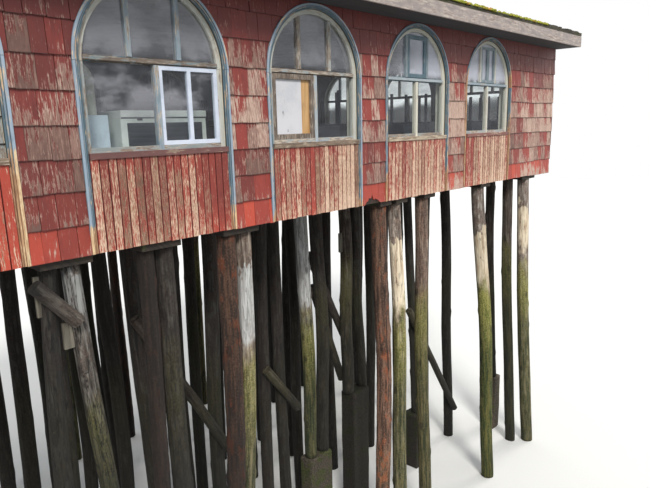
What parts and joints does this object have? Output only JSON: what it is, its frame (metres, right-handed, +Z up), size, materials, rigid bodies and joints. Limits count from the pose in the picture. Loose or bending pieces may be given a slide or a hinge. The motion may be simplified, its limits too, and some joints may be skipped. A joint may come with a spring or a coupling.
{
  "type": "wooden stilt house",
  "caption": "Shingled wooden house with arched windows on tall crooked log stilts, standing free on its pole feet.",
  "frame": {"origin": "ground level at the lowest pole foot, under the middle of the roof", "axes": "+X along the long walls with the front wall on the left when looking along +X from outside, +Y from the front wall to the back wall, +Z up"},
  "size_m": [13.12, 7.54, 9.376],
  "materials": {
    "shingled_wall": "red painted shingles, worn to grey wood",
    "apron_paint": "red paint flaking off narrow boards",
    "blue_paint": "weathered blue paint",
    "frame_paint": "peeling blue and cream paint",
    "window_glass": "clear",
    "white_aluminium": "white coated",
    "sash_wood": "worn blue paint and bare wood",
    "white_panel": "plain sheet",
    "door_wood": "red painted boards",
    "floor_wood": "bare boards",
    "beam_wood": "dark damp wood",
    "ceiling_paint": "pale painted boards",
    "roof_shingles": "grey shingles with moss",
    "roof_trim": "weathered board with peeled paint",
    "soffit_wood": "dark stained boards",
    "pole_wood": "bare logs with moss",
    "mossy_concrete": "rough concrete with moss",
    "white_enamel": "gloss white",
    "cabinet_board": "pale painted board",
    "duct_metal": "pale paint",
    "dark_wood": "dark stain"
  },
  "bodies": {
    "root": {"front_wall": "shingled_wall", "back_wall": "shingled_wall", "right_wall": "shingled_wall", "left_wall": "shingled_wall", "apron_boards": "apron_paint", "front_casings": "blue_paint", "back_casings": "blue_paint", "end_casings": "blue_paint", "front_window_frames": "frame_paint", "back_window_frames": "frame_paint", "end_window_frames": "frame_paint", "window_glass": "window_glass", "sliding_window": "white_aluminium", "wooden_sashes": "sash_wood", "blank_panel": "white_panel", "door_leaf": "door_wood", "door_frame": "blue_paint", "floor": "floor_wood", "floor_joists": "beam_wood", "girders": "beam_wood", "pole_head_planks": "beam_wood", "ceiling": "ceiling_paint", "front_roof": "roof_shingles", "back_roof": "roof_shingles", "ridge_cap": "roof_trim", "fascias": "roof_trim", "soffits": "soffit_wood", "verge_boards": "roof_trim", "poles_row_1": "pole_wood", "poles_row_2": "pole_wood", "poles_row_3": "pole_wood", "poles_row_4": "pole_wood", "poles_row_5": "pole_wood", "poles_row_6": "pole_wood", "poles_row_7": "pole_wood", "braces": "pole_wood", "footing_blocks": "mossy_concrete", "chest_freezer": "white_enamel", "kitchen_cabinet": "cabinet_board", "air_duct": "duct_metal", "dining_tables": "dark_wood", "upturned_chairs": "dark_wood"}
  },
  "joints": []
}
